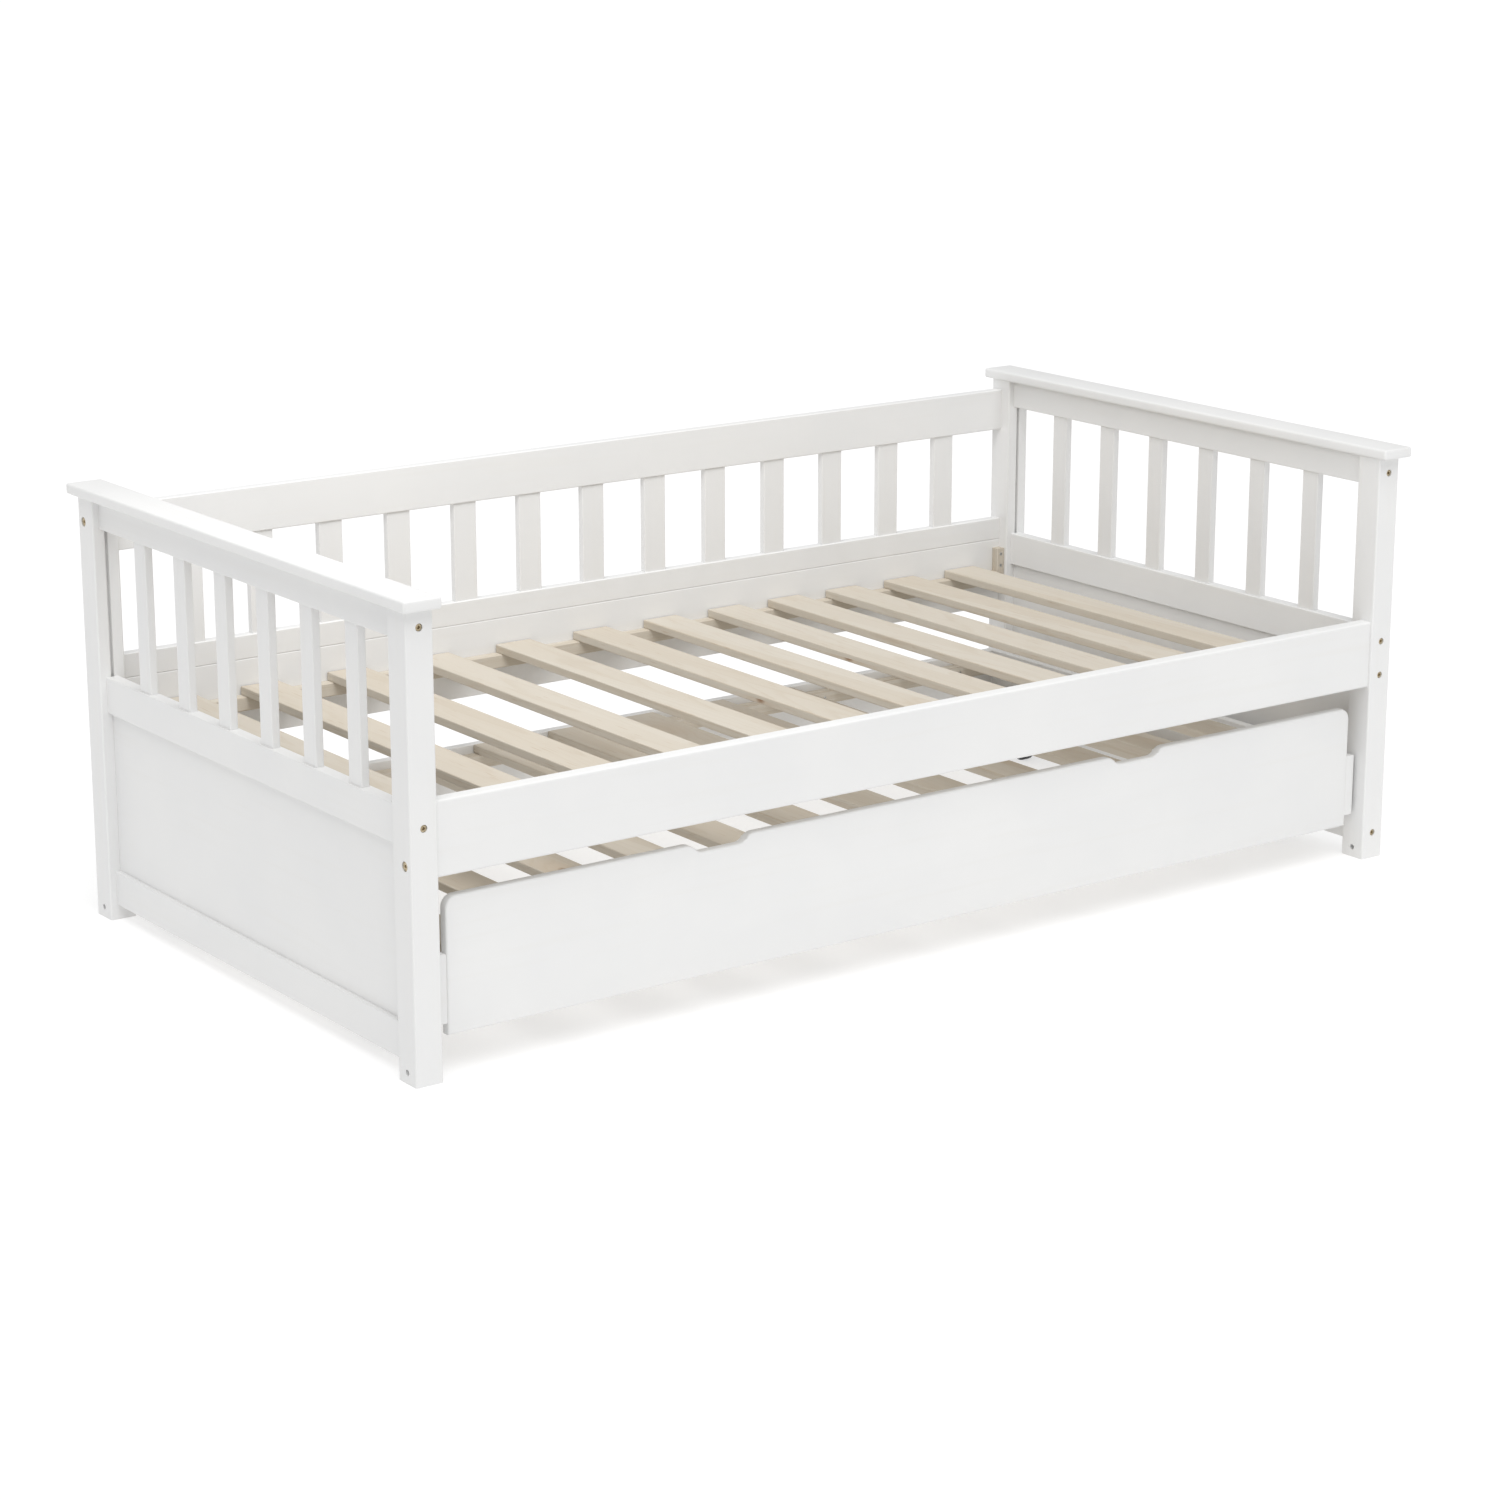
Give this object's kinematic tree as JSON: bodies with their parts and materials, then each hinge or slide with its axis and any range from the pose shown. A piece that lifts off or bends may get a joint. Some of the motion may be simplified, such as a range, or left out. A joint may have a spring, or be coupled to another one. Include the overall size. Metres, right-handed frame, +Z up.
{
  "type": "trundle bed",
  "caption": "White wooden daybed with slatted back and ends, a slatted mattress base, and a pull-out trundle bed on casters behind a full-length front with two hand holds.",
  "frame": {"origin": "on the floor, under the middle of the bed", "axes": "+X along the length of the bed, +Y from the open front to the slatted back, +Z up; the trundle pulls out towards -Y"},
  "size_m": [2.034, 1.084, 0.744],
  "materials": {
    "white_paint": "satin white paint over wood",
    "bare_wood": "sanded, unpainted softwood",
    "bronzed_steel": "bronzed socket head steel",
    "zinc_steel": "bright zinc plate",
    "caster_steel": "black pressed steel",
    "wheel_plastic": "moulded nylon, lightly scuffed"
  },
  "bodies": {
    "bed_frame": {"front_left_post": "white_paint", "front_right_post": "white_paint", "back_left_post": "white_paint", "back_right_post": "white_paint", "left_cap": "white_paint", "right_cap": "white_paint", "left_top_rail": "white_paint", "right_top_rail": "white_paint", "left_mid_rail": "white_paint", "right_mid_rail": "white_paint", "left_bottom_rail": "white_paint", "right_bottom_rail": "white_paint", "left_end_panel": "white_paint", "right_end_panel": "white_paint", "left_end_slats": "white_paint", "right_end_slats": "white_paint", "back_top_rail": "white_paint", "back_lower_rail": "white_paint", "back_slats": "white_paint", "back_bed_rail": "white_paint", "front_bed_rail": "white_paint", "front_ledger": "bare_wood", "back_ledger": "bare_wood", "bed_slats": "bare_wood", "corner_blocks": "bare_wood", "end_bolts": "bronzed_steel", "rail_bolts": "bronzed_steel", "barrel_nuts": "zinc_steel", "dowels": "bare_wood", "ledger_screws": "zinc_steel", "block_screws": "zinc_steel"},
    "trundle": {"trundle_front": "white_paint", "trundle_left_board": "white_paint", "trundle_right_board": "white_paint", "trundle_back_board": "white_paint", "trundle_front_ledger": "bare_wood", "trundle_back_ledger": "bare_wood", "trundle_slats": "bare_wood", "left_runner": "bare_wood", "right_runner": "bare_wood", "caster_forks": "caster_steel", "caster_axles": "zinc_steel", "trundle_board_screws": "zinc_steel", "trundle_ledger_screws": "zinc_steel", "runner_screws": "zinc_steel", "caster_screws": "zinc_steel"},
    "front_left_wheel": {"front_left_wheel": "wheel_plastic"},
    "front_right_wheel": {"front_right_wheel": "wheel_plastic"},
    "back_left_wheel": {"back_left_wheel": "wheel_plastic"},
    "back_right_wheel": {"back_right_wheel": "wheel_plastic"}
  },
  "joints": [
    {"name": "trundle_slide", "type": "slide", "parent": "bed_frame", "child": "trundle", "axis": [0, -1, 0], "range_m": [0, 1]},
    {"name": "front_left_wheel_spin", "type": "hinge", "parent": "trundle", "child": "front_left_wheel", "pos_m": [-0.904, -0.294, 0.028], "axis": [1, 0, 0], "range_deg": [0, 2050]},
    {"name": "front_right_wheel_spin", "type": "hinge", "parent": "trundle", "child": "front_right_wheel", "pos_m": [0.904, -0.294, 0.028], "axis": [1, 0, 0], "range_deg": [0, 2050]},
    {"name": "back_left_wheel_spin", "type": "hinge", "parent": "trundle", "child": "back_left_wheel", "pos_m": [-0.904, 0.349, 0.028], "axis": [1, 0, 0], "range_deg": [0, 2050]},
    {"name": "back_right_wheel_spin", "type": "hinge", "parent": "trundle", "child": "back_right_wheel", "pos_m": [0.904, 0.349, 0.028], "axis": [1, 0, 0], "range_deg": [0, 2050]}
  ],
  "couplings": [
    {"joint": "front_left_wheel_spin", "follows": "trundle_slide", "rad_per_m": 35.714},
    {"joint": "front_right_wheel_spin", "follows": "trundle_slide", "rad_per_m": 35.714},
    {"joint": "back_left_wheel_spin", "follows": "trundle_slide", "rad_per_m": 35.714},
    {"joint": "back_right_wheel_spin", "follows": "trundle_slide", "rad_per_m": 35.714}
  ]
}
